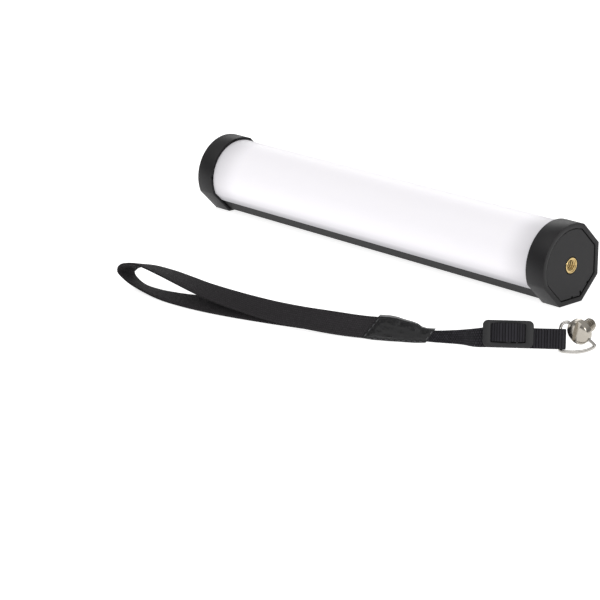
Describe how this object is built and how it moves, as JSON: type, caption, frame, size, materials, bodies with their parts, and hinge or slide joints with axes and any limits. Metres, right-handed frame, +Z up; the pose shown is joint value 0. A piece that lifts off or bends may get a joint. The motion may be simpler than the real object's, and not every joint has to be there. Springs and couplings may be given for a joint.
{
  "type": "led light tube",
  "caption": "Handheld rechargeable LED tube light with a half-round diffuser, octagonal end caps with threaded sockets, rear controls, and a wrist strap with a slider and screw.",
  "frame": {"origin": "centre of the bottom of the tube's own bounding box, on the surface the tube lies on", "axes": "+X along the tube towards the end nearer the strap's screw, +Z up, -Y towards the side the diffuser faces and the strap lies on"},
  "size_m": [0.3165, 0.1656, 0.0411],
  "materials": {
    "housing": "fine-grained black moulded plastic",
    "cap": "fine-grained dark grey moulded plastic",
    "plate": "smooth dark grey moulded plastic",
    "opal": "frosted white polycarbonate",
    "insert": "turned brass",
    "steel": "zinc-plated steel",
    "nickel": "nickel plate, lightly brushed",
    "aluminium": "mill finish",
    "board_white": "white solder mask",
    "board_green": "green solder mask",
    "cell": "shrink sleeve",
    "clear": "smoked clear acrylic",
    "button": "soft-touch plastic",
    "lead_red": "pvc sleeve",
    "lead_black": "pvc sleeve",
    "webbing": "woven nylon",
    "leatherette": "grained leatherette",
    "slider": "moulded acetal"
  },
  "bodies": {
    "light": {"back_housing": "housing", "diffuser": "opal", "led_carrier": "aluminium", "led_board": "board_white", "battery_cell_left": "cell", "battery_cell_right": "cell", "battery_cradle": "plate", "battery_contact_left": "nickel", "battery_contact_right": "nickel", "control_board": "board_green", "control_panel": "plate", "display_module": "clear", "display_window": "clear", "usb_port": "steel", "indicator_lens": "opal", "magnet_left": "nickel", "magnet_right": "nickel", "battery_lead_positive": "lead_red", "battery_lead_negative": "lead_black", "led_lead": "lead_black", "end_cap_right": "cap", "face_plate_right": "plate", "thread_insert_right": "insert", "cap_screw_right_front": "steel", "cap_screw_right_back": "steel", "end_cap_left": "cap", "face_plate_left": "plate", "thread_insert_left": "insert", "cap_screw_left_front": "steel", "cap_screw_left_back": "steel"},
    "power_button": {"power_button": "button"},
    "up_button": {"up_button": "button"},
    "down_button": {"down_button": "button"},
    "mode_button": {"mode_button": "button"},
    "strap": {"strap_loop_webbing": "webbing", "strap_join_cover": "leatherette", "strap_narrow_webbing": "webbing", "strap_ring_webbing": "webbing"},
    "slider": {"strap_slider": "slider", "slider_webbing_wrap": "webbing"},
    "ring": {"strap_ring": "nickel"},
    "screw": {"strap_screw": "nickel"}
  },
  "joints": [
    {"name": "power_button_press", "type": "slide", "parent": "light", "child": "power_button", "axis": [0, -0.7071, 0.7071], "range_m": [0, 0.0005], "stiffness_N_per_m": 400, "springref_m": -0.0005},
    {"name": "up_button_press", "type": "slide", "parent": "light", "child": "up_button", "axis": [0, -0.7071, 0.7071], "range_m": [0, 0.0005], "stiffness_N_per_m": 400, "springref_m": -0.0005},
    {"name": "down_button_press", "type": "slide", "parent": "light", "child": "down_button", "axis": [0, -0.7071, 0.7071], "range_m": [0, 0.0005], "stiffness_N_per_m": 400, "springref_m": -0.0005},
    {"name": "mode_button_press", "type": "slide", "parent": "light", "child": "mode_button", "axis": [0, -0.7071, 0.7071], "range_m": [0, 0.0005], "stiffness_N_per_m": 400, "springref_m": -0.0005},
    {"name": "strap_lift", "type": "slide", "parent": "light", "child": "strap", "axis": [0, 0, 1], "range_m": [0, 0.06]},
    {"name": "slider_travel", "type": "slide", "parent": "strap", "child": "slider", "axis": [0.7431, 0.6691, 0], "range_m": [-0.003, 0.004]},
    {"name": "ring_swing", "type": "hinge", "parent": "strap", "child": "ring", "pos_m": [0.172, -0.05778, 0.00601], "axis": [-0.2068, 0.2296, 0.9511], "range_deg": [-6, 14]},
    {"name": "screw_swing", "type": "hinge", "parent": "ring", "child": "screw", "pos_m": [0.1796, -0.0537, 0.0105], "axis": [0.8549, 0.149, -0.4969], "range_deg": [-20, 20]}
  ]
}
